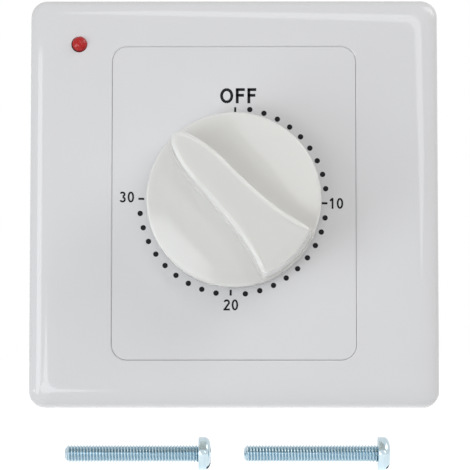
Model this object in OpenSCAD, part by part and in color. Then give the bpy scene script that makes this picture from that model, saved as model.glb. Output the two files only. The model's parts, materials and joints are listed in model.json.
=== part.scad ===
// Wall switch with a spring-wound countdown timer, in millimetres.
// The panel faces -Y, +Z is up and +X is to the right seen from the front.
// The origin is the middle of the two mounting holes, in the plane of the wall.

/* [Panel] */
// Width and height of the square cover
panel_size = 86; // [85:0.5:90]
// Height of the cover's face above the wall
panel_rise = 8.5; // [8:0.1:11]
// Radius of the cover's corners seen from the front
panel_corner = 3.5; // [3:0.1:6]
// Wall of the cover
cover_wall = 1.6; // [1.2:0.1:2]
// Rounding of the cover's outer edge
edge_round = 2; // [1.6:0.1:2.4]
// Width of the sloping band round the cover's face
slope_run = 7; // [5:0.5:8]
// Fall of the face across that band
slope_fall = 0.8; // [0.4:0.1:1.2]
// Running gap between the cover and the base
cover_gap = 0.3; // [0.2:0.05:0.5]

/* [Dial plate] */
// Width of the dial plate
dial_w = 51; // [50.5:0.1:52]
// Height of the dial plate
dial_h = 65.7; // [65:0.1:68]
// Corner radius of the dial plate
dial_corner = 3.1; // [2:0.1:4]
// Thickness of the dial plate
dial_wall = 1.8; // [1.6:0.1:2.2]
// Thickness of the skirt that stands on the base
skirt_wall = 1.2; // [1:0.1:1.4]
// Gap between the dial plate and the window round it
dial_gap = 0.2; // [0.15:0.05:0.4]

/* [Base] */
// Thickness of the base plate
base_wall = 2; // [1.8:0.1:2.4]
// Distance between the mounting holes
mount_spacing = 60.3; // [60:0.1:62]
// Diameter of the mounting holes
mount_hole_d = 4.4; // [4.2:0.1:5]
// Height of the rim round the base plate
base_rim_h = 1.5; // [1:0.1:2]
// Thickness of the rim round the base plate
base_rim_wall = 1.2; // [1:0.1:1.5]

/* [Knob] */
// Diameter of the knob at its rim
knob_d = 35.9; // [34.5:0.1:37]
// How much wider the skirt is at its foot, on each side
knob_draft = 0.15; // [0:0.05:0.3]
// Gap between the skirt's foot and the dial plate
knob_lift = 1; // [0.8:0.1:1.5]
// Height of the rim above the dial plate
knob_rim_h = 9.5; // [9:0.1:11]
// Rise of the domed face from the rim to the middle
knob_dome = 1.8; // [0.8:0.1:2]
// Height of the grip's nose above the dial plate
grip_nose_h = 19.5; // [18.5:0.1:21]
// Height of the grip's wide end above the dial plate
grip_tail_h = 18.3; // [17.5:0.1:20]
// Half the width of the grip at its waist
grip_waist = 3.7; // [3:0.1:4]
// Place of the waist, from the middle towards the nose
grip_waist_at = 6; // [5:0.5:7]
// Length of the nose beyond the waist
grip_nose_l = 11.3; // [10.5:0.1:11.5]
// How much the grip widens per millimetre behind its waist, on each side
grip_widen = 0.025; // [0.015:0.005:0.035]
// How fast the grip flares out towards its tail, per cubic millimetre
grip_flare = 0.00026; // [0.0002:0.00001:0.0003]
// Length of the rounded end of the grip's top
grip_roll_l = 3.6; // [3:0.1:4.5]
// How far the grip's top rounds down at that end
grip_roll = 3; // [2:0.1:4]
// Wall of the knob
knob_wall = 1.8; // [1.5:0.1:2.2]
// Diameter of the hub under the knob
hub_d = 11; // [10:0.5:12]
// Turn of the nose from the top, clockwise, as photographed
knob_angle = 316; // [300:1:330]
// Thickness of the leaf that holds the knob on the shaft
clip_t = 0.4; // [0.3:0.05:0.5]

/* [Shaft] */
// Diameter of the shaft
shaft_d = 6; // [5.6:0.1:6.4]
// Width of the shaft across its flat
shaft_flat = 4.6; // [4.4:0.1:4.8]
// Height of the shaft's end above the dial plate
shaft_end_h = 14.5; // [12:0.5:15]
// Diameter of the shaft's rear journal
journal_d = 4; // [3.6:0.1:4.4]
// Turn of the knob from OFF to the winding stop
knob_travel = 315; // [300:1:320]

/* [Movement] */
// Width and height of the movement plates
plate_size = 42; // [42:0.5:43]
// Thickness of the movement plates
plate_wall = 1; // [0.8:0.1:1.2]
// Diameter of the pillars between the plates
pillar_d = 3.6; // [3:0.1:4]
// Distance of the pillars from the plates' edges
pillar_inset = 2.8; // [2.6:0.1:3]
// Spacing of the screws that hold the movement
movement_screw_spacing = 28; // [27:0.5:29]
// Radial clearance of turning shafts
running_gap = 0.05; // [0.03:0.01:0.08]
// Width of the mainspring
spring_h = 6; // [5.5:0.1:6.5]
// Thickness of the mainspring
spring_t = 0.35; // [0.25:0.05:0.45]
// Outer radius of the mainspring
spring_r = 10.4; // [10:0.1:10.5]
// Turns of the mainspring
spring_turns = 5.5; // [4:0.5:6]
// Space between one wheel and the next along the arbors
level_gap = 1.2; // [1.1:0.1:1.5]

/* [Gears] */
// Teeth of the main wheel
main_teeth = 48; // [48]
// Teeth of the second pinion
second_leaves = 12; // [12]
// Module of the main wheel
main_module = 0.45; // [0.44:0.01:0.46]
// Teeth of the second wheel
second_teeth = 40; // [40]
// Leaves of the third pinion
third_leaves = 10; // [10]
// Module of the second wheel
second_module = 0.42; // [0.41:0.01:0.43]
// Teeth of the third wheel
third_teeth = 36; // [36]
// Leaves of the escape pinion
escape_leaves = 9; // [9]
// Module of the third wheel
third_module = 0.38; // [0.37:0.01:0.39]
// Teeth of the escape wheel
escape_teeth = 15; // [13:1:17]
// Radius of the escape wheel
escape_r = 4.6; // [4.2:0.1:4.8]
// Depth of its teeth
escape_depth = 1.1; // [1:0.1:1.2]
// Thickness of the main wheel
main_t = 1.2; // [1:0.1:1.4]
// Thickness of the other wheels
wheel_t = 0.9; // [0.8:0.1:1]
// Diameter of the train's arbors
arbor_d = 1.4; // [1.2:0.1:1.5]
// Diameter of their pivots
pivot_d = 1; // [0.8:0.1:1.1]
// Backlash of the teeth
backlash = 0.16; // [0.12:0.01:0.2]
// Outer radius of the balance
balance_r = 5.4; // [5:0.1:5.6]

/* [Contacts] */
// Radius of the cam away from its lobe
cam_r = 7; // [6.5:0.1:7.5]
// Rise of the cam's lobe
cam_lobe = 1.5; // [1.2:0.1:1.8]
// Thickness of the cam
cam_t = 3; // [2.6:0.1:3.4]
// Thickness of the moving leaf
leaf_t = 0.3; // [0.2:0.05:0.4]
// Thickness of the fixed strip
strip_t = 0.5; // [0.4:0.05:0.6]
// Distance between the leaf and the strip
contact_pitch = 1.6; // [1.5:0.1:1.8]
// Depth of the contact space behind the rear plate
contact_depth = 12.7; // [12.5:0.1:14]
// Diameter of the contact rivets
rivet_d = 2.6; // [2:0.1:2.6]
// Side of a terminal sleeve
sleeve_w = 5; // [4.8:0.1:5.2]
// Length of a terminal sleeve
sleeve_l = 8; // [7.5:0.1:8]
// Diameter of a terminal's wire hole
wire_bore_d = 3.2; // [2.8:0.1:3.2]
// Diameter of the wire holes in the housing's back
wire_entry_d = 4; // [3.8:0.1:4.4]

/* [Housing] */
// Wall of the rear housing
housing_wall = 1.5; // [1.3:0.1:1.6]
// Space between the movement plates and the housing's wall
housing_room = 0.5; // [0.4:0.1:0.6]
// Reach of the lips that hold the housing on the base
lip_reach = 4; // [3.8:0.1:4.2]
// Width of those lips
lip_w = 30; // [28:1:34]
// Width of the label's recess in the back
label_w = 30; // [20:1:34]
// Height of the label's recess
label_h = 12; // [8:1:16]

/* [Indicator] */
// Diameter of the red lens
lens_d = 3.1; // [2.8:0.1:3.4]
// How far the lens stands proud of the cover
lens_dome = 1.1; // [0.8:0.1:1.4]
// Lens from the cover's left edge
lens_left = 10.5; // [10:0.1:11]
// Lens from the cover's upper edge
lens_up = 9.5; // [9:0.1:10]
// Diameter of the neon lamp
lamp_d = 3; // [2.8:0.1:3.2]
// Length of the neon lamp
lamp_l = 9; // [8:0.5:10]
// Diameter of the resistor
resistor_d = 2.2; // [2:0.1:2.5]
// Length of the resistor
resistor_l = 7; // [6:0.5:7]

/* [Mounting screws] */
// Diameter of the screws' thread
bolt_d = 4; // [3.8:0.1:4]
// Length of the screws under the head
bolt_l = 30; // [25:1:32]
// Diameter of the screws' heads
bolt_head_d = 7.5; // [7:0.1:8]
// Height of the screws' heads
bolt_head_h = 2.9; // [2.4:0.1:3.1]
// How far below the middle the loose screws lie
bolt_drop = 54.1; // [53:0.1:58]
// Place of the left screw's tip, from the middle
bolt_left_x = -38.1; // [-39:0.1:-37]
// Place of the right screw's tip, from the middle
bolt_right_x = 2.2; // [1:0.1:3]

/* [Hidden] */
$fn = 48;
// Overlap that joins two shapes, overshoot of a cut, and clearance of a fixed fit
eps = 0.01;
over = 1;
fit = 0.03;

white = [0.86, 0.86, 0.85];
ivory = [0.8, 0.79, 0.75];
steel = [0.62, 0.63, 0.66];
brass = [0.8, 0.65, 0.3];
bakelite = [0.3, 0.16, 0.09];

// Levels along the wall's normal, from the dial plate's back towards the wall box
dial_back = panel_rise - dial_wall;
front_z = dial_back - plate_wall;
end_play = 0.2;
lug_t = 0.6;
lug_top = front_z - end_play;
spring_top = lug_top - lug_t - end_play;
main_top = spring_top - spring_h - level_gap;
second_top = main_top - main_t - level_gap;
third_top = second_top - wheel_t - level_gap;
escape_top = third_top - wheel_t - level_gap;
pallet_t = 0.4;
pallet_top = escape_top - wheel_t - end_play;
balance_top = pallet_top - pallet_t - end_play;
rear_z = balance_top - wheel_t - level_gap / 2;
rear_back = rear_z - plate_wall;
housing_in = rear_back - contact_depth;
housing_out = housing_in - housing_wall;

// Plan of the gear train: each arbor stands at the sum of the pitch radii from the one before
mesh_slack = 0.04;
addendum = 0.75;
second_dir = 225;
third_dir = -14;
escape_dir = 20;
balance_dir = 35;
second_at = polar(mesh_distance(main_module, main_teeth, second_leaves), second_dir);
third_at = second_at + polar(mesh_distance(second_module, second_teeth, third_leaves), third_dir);
escape_at = third_at + polar(mesh_distance(third_module, third_teeth, escape_leaves), escape_dir);
balance_off = 2;
balance_at = escape_at + polar(escape_r + balance_off, balance_dir);
pinion_over = 0.4;
boss_wall = 0.7;
train_reach = max(balance_at.x + balance_r, tip_radius(second_teeth, second_module) - second_at.x);
lobe_turn = 360 - knob_travel;

// Stop pin and lug that end the winding, the spring's anchor, and pillars that clear the second wheel
stop_play = 0.6;
stop_at = 5.3;
stop_d = 1.6;
stop_half = asin(stop_d / 2 / stop_at);
lug_half = (360 - knob_travel) / 2 - stop_half - stop_play;
stop_dir = 90;
spring_dir = 135;
second_clear = tip_radius(second_teeth, second_module) + pillar_d / 2 + end_play;
pillar_reach = max(plate_size / 2 - pillar_inset, second_clear / sqrt(2) - min(second_at));
pillar_at = [pillar_reach, pillar_reach];
plate_corner = 1.5;
tenon_d = 2;
anchor_d = 1.4;
anchor_gap = 0.05;
anchor_at = polar(spring_r + anchor_d / 2 + anchor_gap, spring_dir);
spring_gap = 0.1;
spring_steps = 20;

// Housing, base and their fastenings
housing_inner = 2 * (max(plate_size / 2, train_reach) + housing_room);
housing_outer = housing_inner + 2 * housing_wall;
housing_corner = 2;
housing_slack = 0.3;
lip_t = 1.5;
lip_front = base_wall + lip_t;
lip_screw_inset = 3;
label_depth = 0.3;
label_up = 9;
gauge_l = 11;
gauge_w = 1.2;
gauge_drop = 5;
base_size = panel_size - 2 * (cover_wall + cover_gap);
min_corner = 0.6;
base_corner = max(min_corner, panel_corner - cover_wall);
edge_lean = band_lean(0, 5);
edge_steps = 6;
band_steps = 5;
window_lip_h = 1.2;
window_w = dial_w + 2 * dial_gap;
window_h = dial_h + 2 * dial_gap;
window_corner = dial_corner + dial_gap;
dial_boss_d = 4.4;
dial_boss_inset = max(dial_corner, dial_boss_d / 2);
dial_boss_at = [dial_w / 2 - dial_boss_inset, dial_h / 2 - dial_boss_inset];
housing_screw_at = [lip_w / 2 - lip_screw_inset, housing_outer / 2 + lip_reach / 2];
screw_room = 0.5;
small_d = 2;
small_head_d = 3.4;
small_head_h = 1;

// Knob levels, measured from the wall
knob_foot = panel_rise + knob_lift;
knob_rim = panel_rise + knob_rim_h;
knob_r = knob_d / 2;
rim_round = 0.6;
hub_lift = 1;
hub_foot = knob_foot + hub_lift;
bore_room = 0.3;
clip_inset = 0.5;
clip_play = 0.1;
shaft_end = panel_rise + shaft_end_h;
shaft_room = 0.5;
flat_at = shaft_flat - shaft_d / 2;
grip_tail_inset = 1.4;
grip_tail = knob_r - grip_tail_inset;
grip_steps = 40;
grip_roll_steps = 6;

// Contacts, behind the rear plate
cam_drop = 0.9;
cam_top = rear_back - cam_drop;
journal_over = 0.6;
lobe_half = 9;
lobe_gap = 0.2;
nub_h = 0.3;
leaf_x = cam_r + cam_lobe + lobe_gap + nub_h;
leaf_w = 6.6;
leaf_front = cam_top - end_play;
leaf_end = leaf_front - leaf_w;
leaf_up = 10;
leaf_root_gap = 0.2;
strip_drop = 1.4;
strip_front = cam_top - cam_t - strip_drop;
strip_x = leaf_x - contact_pitch;
block_room = 1;
block_wall = 1;
block_side = 2;
block_bottom = block_room - housing_inner / 2;
block_top = block_bottom + sleeve_w + 1.5 * block_wall;
block_left = strip_x - strip_t - sleeve_w - block_side;
block_right = leaf_x + leaf_t + sleeve_w + block_side;
block_end = housing_in + block_room / 2;
sleeve_rear = block_end + end_play;
sleeve_mid_y = block_top - block_wall / 2 - sleeve_w / 2;
sleeve_xs = [strip_x - strip_t - sleeve_w / 2, leaf_x + leaf_t + sleeve_w / 2];
tail_end = sleeve_mid_y - sleeve_w / 3;
contact_y = 8;
rivet_inset = 0.1;
contact_z = leaf_end + rivet_d / 2 + rivet_inset;
rivet_gap = 0.06;
rivet_mid = (strip_x + leaf_x) / 2;
terminal_inset = 2.8;
terminal_screw_z = sleeve_rear + terminal_inset;
terminal_d = 2.6;
terminal_head_h = 0.7;
terminal_gap = 0.1;
ear_t = 2.5;
ear_w = 5;
ear_h = 4;
ear_mids = [[block_left - ear_w / 2, block_bottom + ear_h], [block_right - ear_w / 2, block_top + ear_h / 2]];

// Indicator
lens_flange_d = 4.6;
lens_flange_t = 0.8;
lens_at = [lens_left - panel_size / 2, panel_size / 2 - lens_up];
lens_back = panel_rise - cover_wall;
cradle_h = 0.4;
lamp_z = base_wall + cradle_h + lamp_d / 2;
resistor_z = base_wall + cradle_h + resistor_d / 2;
lead_l = 7;
lead_tail = 3;
resistor_mid = lens_at.y - lamp_l / 2 - lead_l - resistor_l / 2;
lead_d = 0.5;

// Recess in the loose screws' heads
recess_w = 1;
recess_depth = 1;
recess_l = bolt_head_d / 1.5;

function polar(r, a) = [r * cos(a), r * sin(a)];
function mesh_distance(m, a, b) = m * (a + b) / 2 + mesh_slack;
function tip_radius(n, m) = m * (n / 2 + addendum);

// Lean of the cover's band where it meets the rounded edge, found by repeating the estimate
function band_lean(lean, rounds) =
  rounds == 0
    ? lean
    : band_lean(atan(2 * slope_fall / (slope_run - edge_round * (1 - sin(lean)))), rounds - 1);

// Outline of a rectangle with round corners
function rounded(w, h, r, steps = 8) = [
  for (q = [0 : 3], i = [0 : steps])
    let (sx = (q == 0 || q == 3) ? 1 : -1, sy = q < 2 ? 1 : -1, a = 90 * (q + i / steps))
      [sx * (w / 2 - r) + r * cos(a), sy * (h / 2 - r) + r * sin(a)]
];

// Half the angle of an involute tooth at radius r
pressure = 25;
function involute(c) = c >= 1 ? 0 : tan(acos(c)) * 180 / PI - acos(c);
function tooth_half(n, m, r) =
  let (pitch = m * n / 2, base = pitch * cos(pressure), slack = backlash / 4 / pitch * 180 / PI)
    90 / n - slack + involute(cos(pressure)) - involute(base / max(r, base));

// Outline of a gear with a tooth on +X
function gear_points(n, m) =
  let (pitch = m * n / 2, radii = [pitch - m, pitch, tip_radius(n, m)])
    [for (i = [0 : n - 1], j = [0 : 5])
      let (r = radii[j < 3 ? j : 5 - j], side = j < 3 ? -1 : 1)
        polar(r, 360 * i / n + side * tooth_half(n, m, r))];

// Turn of a driven pinion that meshes with a wheel standing at zero
function mesh_turn(dir, wheel, pinion) = dir + 180 + 180 / pinion + dir * wheel / pinion;

// Places what is drawn on the wall, with x to the right, y up and z out of the wall
module on_wall() {
  rotate([90, 0, 0])
    children();
}

module disc(d, from, to, at = [0, 0]) {
  translate([at.x, at.y, min(from, to)])
    cylinder(d = d, h = abs(to - from));
}

module slab(points, from, to) {
  translate([0, 0, min(from, to)])
    linear_extrude(abs(to - from))
      polygon(points);
}

module block(x, y, z) {
  translate([min(x), min(y), min(z)])
    cube([max(x) - min(x), max(y) - min(y), max(z) - min(z)]);
}

module at_corners(at) {
  for (sx = [-1, 1], sy = [-1, 1])
    translate([sx * at.x, sy * at.y, 0])
      children();
}

// Solid through a stack of outlines, each given as a height and a list of points
module loft(layers) {
  n = len(layers[0][1]);
  last = len(layers) - 1;
  points = [for (layer = layers, p = layer[1]) [p.x, p.y, layer[0]]];
  sides = [for (k = [0 : last - 1], i = [0 : n - 1])
    let (a = k * n + i, b = k * n + (i + 1) % n)
      each [[a, a + n, b + n], [a, b + n, b]]];
  foot = [for (i = [1 : n - 2]) [0, i, i + 1]];
  top = [for (face = foot) [for (v = [2 : -1 : 0]) last * n + face[v]]];
  polyhedron(points, [each foot, each sides, each top]);
}

// Cover form: straight sides, a rounded edge and a band that curves up to the flat face
module cover_form(size, rise, corner, foot) {
  edge_mid = rise - slope_fall - edge_round * cos(edge_lean);
  band_from = edge_round * (1 - sin(edge_lean));
  steps = [
    [foot, 0],
    for (k = [0 : edge_steps])
      let (a = (90 - edge_lean) * k / edge_steps)
        [edge_mid + edge_round * sin(a), edge_round * (1 - cos(a))],
    for (k = [1 : band_steps])
      let (share = k / band_steps)
        [rise - slope_fall * pow(1 - share, 2), band_from + (slope_run - band_from) * share]
  ];
  loft([for (step = steps)
    let (side = size - 2 * step[1])
      [step[0], rounded(side, side, max(min_corner, corner - step[1] / 3))]]);
}

module cover_frame() {
  inner_corner = max(min_corner, panel_corner - cover_wall);
  color(white)
    on_wall()
      difference() {
        union() {
          difference() {
            cover_form(panel_size, panel_rise, panel_corner, 0);
            cover_form(panel_size - 2 * cover_wall, lens_back, inner_corner, -over);
          }
          slab(rounded(window_w + 2 * skirt_wall, window_h + 2 * skirt_wall, window_corner + skirt_wall),
               lens_back - window_lip_h, lens_back + eps);
        }
        slab(rounded(window_w, window_h, window_corner), -over, panel_rise + over);
        disc(lens_d + 2 * fit, 0, panel_rise + over, lens_at);
        disc(lens_flange_d + 2 * fit, 0, lens_back, lens_at);
      }
}

module indicator_lens() {
  dome_r = (lens_d * lens_d / 4 + lens_dome * lens_dome) / (2 * lens_dome);
  color([0.7, 0.05, 0.04])
    on_wall() {
      disc(lens_d, lens_back - eps, panel_rise, lens_at);
      disc(lens_flange_d, lens_back - lens_flange_t, lens_back, lens_at);
      intersection() {
        translate([lens_at.x, lens_at.y, panel_rise + lens_dome - dome_r])
          sphere(dome_r);
        disc(lens_d, panel_rise - eps, panel_rise + 2 * lens_dome, lens_at);
      }
    }
}

module base_plate() {
  opening = housing_outer + 2 * housing_slack;
  color(ivory)
    on_wall()
      difference() {
        union() {
          slab(rounded(base_size, base_size, base_corner), 0, base_wall);
          difference() {
            slab(rounded(base_size, base_size, base_corner), 0, base_wall + base_rim_h);
            slab(rounded(base_size - 2 * base_rim_wall, base_size - 2 * base_rim_wall, base_corner),
                 -over, base_wall + base_rim_h + over);
          }
          cradle(lamp_l, lens_at.y, lamp_z);
          cradle(resistor_l, resistor_mid, resistor_z);
        }
        slab(rounded(opening, opening, housing_corner), -over, base_wall + over);
        for (sx = [-1, 1])
          disc(mount_hole_d, -over, base_wall + over, [sx * mount_spacing / 2, 0]);
        at_corners(dial_boss_at)
          countersink(0, 1, base_wall);
        at_corners(housing_screw_at)
          disc(small_d + 2 * fit, -over, base_wall + over);
        across(lamp_d + 2 * fit, lens_at.y - lamp_l, lens_at.y + lamp_l, lamp_z);
        across(resistor_d + 2 * fit, resistor_mid - resistor_l, resistor_mid + resistor_l, resistor_z);
      }
}

// Two posts that carry a lamp or a resistor lying along y
module cradle(length, mid, z) {
  post_w = 3.6;
  post_t = 1.2;
  for (s = [-1, 1])
    block([lens_at.x - post_w / 2, lens_at.x + post_w / 2],
          [mid + s * length / 4 - post_t / 2, mid + s * length / 4 + post_t / 2], [base_wall - eps, z]);
}

// Round bar along y over the lamp's place
module across(d, from, to, z) {
  translate([lens_at.x, to, z])
    rotate([90, 0, 0])
      cylinder(d = d, h = to - from);
}

// Hole through a wall for a small screw whose head is let into the face at z, with the shank towards dir
module countersink(z, dir, wall) {
  translate([0, 0, z])
    mirror([0, 0, dir > 0 ? 0 : 1]) {
      translate([0, 0, -over])
        cylinder(d = small_d + 2 * fit, h = wall + 2 * over);
      translate([0, 0, -eps])
        cylinder(d = small_head_d + 2 * fit, h = small_head_h + fit + eps);
    }
}

// Small flat-head screw with a cross recess, its head at z and its shank towards dir
module small_screw(z, dir, length, d = small_d, head_d = small_head_d, head_h = small_head_h) {
  cross_w = d / 4;
  cross_l = head_d * 0.6;
  translate([0, 0, z])
    mirror([0, 0, dir > 0 ? 0 : 1])
      difference() {
        union() {
          cylinder(d = head_d, h = head_h);
          cylinder(d = d, h = length);
        }
        for (turn = [0, 90])
          rotate([0, 0, turn])
            translate([-cross_l / 2, -cross_w / 2, -eps])
              cube([cross_l, cross_w, head_h / 2]);
      }
}

module dial_plate() {
  color(white)
    on_wall()
      difference() {
        union() {
          slab(rounded(dial_w, dial_h, dial_corner), dial_back, panel_rise);
          difference() {
            slab(rounded(dial_w, dial_h, dial_corner), base_wall, panel_rise - eps);
            slab(rounded(dial_w - 2 * skirt_wall, dial_h - 2 * skirt_wall, dial_corner - skirt_wall / 2),
                 base_wall - over, dial_back);
          }
          at_corners(dial_boss_at)
            disc(dial_boss_d, base_wall, dial_back + eps);
        }
        disc(shaft_d + 2 * shaft_room, 0, panel_rise + over);
        for (sx = [-1, 1])
          translate([sx * movement_screw_spacing / 2, 0, 0])
            countersink(panel_rise, -1, dial_wall);
        at_corners(dial_boss_at)
          disc(small_d + 2 * fit, 0, dial_back - screw_room);
        housing_form(housing_slack, base_wall - over);
      }
}

module dial_screws() {
  color(steel)
    on_wall()
      at_corners(dial_boss_at)
        small_screw(0, 1, dial_back - 2 * screw_room);
}

module movement_screws() {
  color(steel)
    on_wall()
      for (sx = [-1, 1])
        translate([sx * movement_screw_spacing / 2, 0, 0])
          small_screw(panel_rise, -1, dial_wall + plate_wall + screw_room);
}

// Outside of the housing with its lips, grown by room, from the given depth to the lips' front
module housing_form(room, from) {
  side = housing_outer + 2 * room;
  slab(rounded(side, side, housing_corner), from, lip_front + room);
  slab(rounded(lip_w + 2 * room, side + 2 * lip_reach, housing_corner), base_wall - room, lip_front + room);
}

module rear_housing() {
  gauge_y = sleeve_mid_y + gauge_drop;
  color(ivory)
    on_wall()
      difference() {
        housing_form(0, housing_out);
        slab(rounded(housing_inner, housing_inner, housing_corner / 2), housing_in, lip_front + over);
        for (x = sleeve_xs) {
          disc(wire_entry_d, housing_out - over, housing_in + over, [x, sleeve_mid_y]);
          driver_hole(x);
        }
        at_corners(housing_screw_at)
          disc(small_d + 2 * fit, 0, lip_front + over);
        block([-label_w / 2, label_w / 2], [label_up - label_h / 2, label_up + label_h / 2],
              [housing_out - over, housing_out + label_depth]);
        block([block_left - gauge_l, block_left], [gauge_y - gauge_w / 2, gauge_y + gauge_w / 2],
              [housing_out - over, housing_out + label_depth]);
      }
}

// Hole below a terminal screw for the screwdriver
module driver_hole(x) {
  translate([x, over - housing_inner / 2, terminal_screw_z])
    rotate([90, 0, 0])
      cylinder(d = small_head_d + 2 * screw_room, h = housing_wall + 2 * over);
}

module housing_screws() {
  color(steel)
    on_wall()
      at_corners(housing_screw_at)
        small_screw(lip_front + small_head_h, -1, small_head_h + lip_front - screw_room);
}

// Half the width of the grip at t along its axis, with the nose at negative t
function grip_half(t) =
  t < -grip_waist_at
    ? grip_waist * sqrt(max(0, 1 - pow((t + grip_waist_at) / grip_nose_l, 2)))
    : grip_waist + grip_widen * (t + grip_waist_at) + grip_flare * pow(t + grip_waist_at, 3);

grip_outline = [
  for (s = [-1, 1], i = [0 : grip_steps])
    let (k = s < 0 ? i / grip_steps : 1 - i / grip_steps,
         t = -(grip_waist_at + grip_nose_l) * cos(90 * k) + grip_tail * (1 - cos(90 * k)))
      if (s < 0 || (i > 0 && i < grip_steps)) [s * grip_half(t), -t]
];

// Height of the knob's domed face at radius r
function dome_z(r) = knob_rim + knob_dome * (1 - pow(r / (knob_r - rim_round), 2));

// Section of the knob's cup with its hub, from the axis outwards
function cup_section() = [
  [0, hub_foot],
  [hub_d / 2, hub_foot],
  [hub_d / 2, dome_z(hub_d / 2) - knob_wall],
  [knob_r - knob_wall, knob_rim - knob_wall],
  [knob_r - knob_wall, knob_foot],
  [knob_r + knob_draft, knob_foot],
  [knob_r, knob_rim - rim_round],
  for (a = [0 : 15 : 90]) [knob_r - rim_round * (1 - cos(a)), knob_rim - rim_round * (1 - sin(a))],
  for (k = [0.75 : -0.25 : 0]) [k * (knob_r - rim_round), dome_z(k * (knob_r - rim_round))]
];

// Height of the grip's top above the dial plate, at t along its axis; it rounds down at the tail
function grip_top(t) =
  let (nose = grip_waist_at + grip_nose_l,
       slope = (grip_nose_h - grip_tail_h) / (nose + grip_tail),
       roll = max(0, t - grip_tail + grip_roll_l) / grip_roll_l)
    grip_nose_h - slope * (t + nose) - grip_roll * pow(roll, 2);

// Grip seen from its side, from below the knob's face up to its top
function grip_side() =
  let (nose = grip_waist_at + grip_nose_l,
       low = knob_rim - knob_wall / 2)
    [
      [-nose - over, low],
      [grip_tail + over, low],
      [grip_tail + over, panel_rise + grip_top(grip_tail)],
      for (k = [1 : -1 / grip_roll_steps : 0])
        let (t = grip_tail - grip_roll_l * (1 - k)) [t, panel_rise + grip_top(t)],
      [-nose - over, panel_rise + grip_top(-nose - over)]
    ];

// Grip: its plan raised to its side view, kept inside the knob's edge
module grip() {
  intersection() {
    slab(grip_outline, knob_rim - knob_wall / 2, panel_rise + grip_nose_h + over);
    disc(2 * grip_tail, knob_foot, panel_rise + grip_nose_h + 2 * over);
    rotate([90, 0, -90])
      translate([0, 0, -knob_d])
        linear_extrude(2 * knob_d)
          polygon(grip_side());
  }
}

// Section of the shaft's bore or of the shaft, with a flat at the given distance
module d_section(d, flat) {
  intersection() {
    circle(d = d);
    translate([-d, -d])
      square([2 * d, d + flat]);
  }
}

module knob() {
  bore_flat = flat_at + clip_t + fit;
  color(white)
    on_wall()
      rotate([0, 0, -knob_angle])
        difference() {
          union() {
            rotate_extrude($fn = 96)
              polygon(cup_section());
            grip();
          }
          translate([0, 0, hub_foot - over])
            linear_extrude(shaft_end - hub_foot + over + bore_room)
              d_section(shaft_d + 2 * fit, bore_flat);
        }
}

module knob_clip() {
  leaf_half = sqrt(shaft_d * shaft_d / 4 - pow(flat_at + clip_t, 2)) - clip_play;
  color(steel)
    on_wall()
      rotate([0, 0, -knob_angle])
        block([-leaf_half, leaf_half], [flat_at, flat_at + clip_t],
              [hub_foot + clip_inset, shaft_end - clip_inset]);
}

module main_arbor() {
  lug_dir = stop_dir + lug_half + stop_half + stop_play;
  lug_r = stop_at + stop_d / 2;
  color(steel)
    on_wall() {
      rotate([0, 0, -knob_angle])
        translate([0, 0, hub_foot])
          linear_extrude(shaft_end - hub_foot)
            d_section(shaft_d, flat_at);
      disc(shaft_d, rear_z + end_play, hub_foot);
      disc(journal_d, cam_top - cam_t - journal_over, rear_z + end_play + eps);
      slab([[0, 0], for (k = [-1 : 0.25 : 1]) polar(lug_r, lug_dir + k * lug_half)],
           lug_top - lug_t, lug_top);
    }
}

// Movement plate from z upwards with its pivot holes
module movement_plate(z, shaft_hole_d) {
  difference() {
    slab(rounded(plate_size, plate_size, plate_corner), z, z + plate_wall);
    disc(shaft_hole_d, z - over, z + plate_wall + over);
    for (at = [second_at, third_at, escape_at, balance_at])
      disc(pivot_d + 2 * running_gap, z - over, z + plate_wall + over, at);
    at_corners(pillar_at)
      disc(tenon_d + 2 * fit, z - over, z + plate_wall + over);
    children();
  }
}

module front_movement_plate() {
  color(steel)
    on_wall() {
      movement_plate(front_z, shaft_d + 2 * running_gap) {
        for (sx = [-1, 1])
          disc(small_d + 2 * fit, front_z - over, dial_back + over, [sx * movement_screw_spacing / 2, 0]);
        disc(tenon_d / 2 + 2 * fit, front_z - over, dial_back + over, anchor_at);
      }
      disc(stop_d, lug_top - lug_t, front_z + eps, polar(stop_at, stop_dir));
    }
}

module rear_movement_plate() {
  color(steel)
    on_wall()
      movement_plate(rear_back, journal_d + 2 * running_gap)
        for (at = ear_mids)
          disc(small_d + 2 * fit, rear_back - over, rear_z + over, at);
}

module movement_pillars() {
  color(brass)
    on_wall()
      at_corners(pillar_at) {
        disc(pillar_d, rear_z, front_z);
        disc(tenon_d, rear_back, dial_back);
      }
}

module spring_anchor() {
  color(brass)
    on_wall() {
      disc(anchor_d, spring_top - spring_h, front_z, anchor_at);
      disc(tenon_d / 2, spring_top, dial_back, anchor_at);
    }
}

// Spiral strip from the arbor to the anchor pin
module mainspring() {
  inner = shaft_d / 2 + spring_t / 2 + spring_gap;
  outer = spring_r - spring_t / 2;
  steps = spring_steps * spring_turns;
  side = [for (s = [-1, 1]) [for (i = [0 : steps])
    let (k = i / steps)
      polar(inner + (outer - inner) * k + s * spring_t / 2, spring_dir - 360 * spring_turns * (1 - k))]];
  color(steel)
    on_wall()
      slab([each side[0], for (i = [steps : -1 : 0]) side[1][i]], spring_top - spring_h, spring_top);
}

module gear(n, m, from, to, at, turn, bore) {
  difference() {
    translate([at.x, at.y, 0])
      rotate([0, 0, turn])
        slab(gear_points(n, m), from, to);
    disc(bore, from - over, to + over, at);
  }
}

module main_wheel() {
  color(brass)
    on_wall()
      gear(main_teeth, main_module, main_top - main_t, main_top, [0, 0], 0, shaft_d + 2 * fit);
}

// Steel arbor with its two pivots
module train_arbor(at) {
  disc(arbor_d, rear_z + end_play, front_z - end_play, at);
  disc(pivot_d, rear_back + end_play, dial_back - end_play, at);
}

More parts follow.
